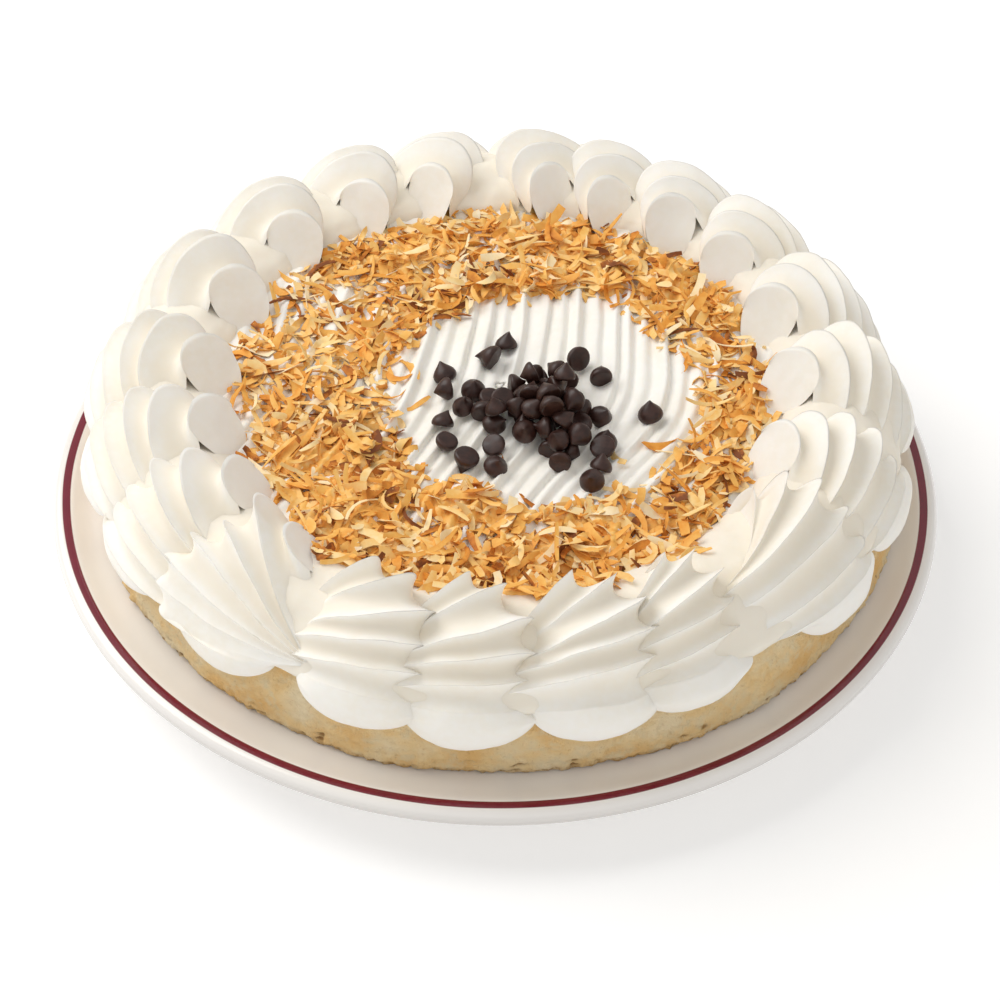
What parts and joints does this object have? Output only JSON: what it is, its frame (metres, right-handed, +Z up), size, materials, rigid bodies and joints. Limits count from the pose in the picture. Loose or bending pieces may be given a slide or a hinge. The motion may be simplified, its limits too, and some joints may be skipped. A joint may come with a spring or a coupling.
{
  "type": "haupia chocolate pie",
  "caption": "Whole round cream pie on an off-white plate with a maroon line: pastry crust, combed cream, piped cream border, toasted coconut ring and a heap of chocolate chips.",
  "frame": {"origin": "centre of the plate's foot, on the surface that it stands on", "axes": "+Z up, -Y towards the side shown in front, +X to the right of it"},
  "size_m": [0.2808, 0.2808, 0.0759],
  "materials": {
    "glaze": "glossy off-white glaze with one maroon line near the rim",
    "pastry": "matte golden-beige baked pastry, crumbly at its foot",
    "cream": "soft, nearly white whipped cream",
    "coconut": "toasted coconut shreds, golden with pale and browned ones",
    "chocolate": "semi-matte dark chocolate"
  },
  "bodies": {
    "root": {"plate": "glaze", "crust": "pastry", "cream_layer": "cream", "cream_border": "cream", "coconut": "coconut", "chips": "chocolate"}
  },
  "joints": []
}
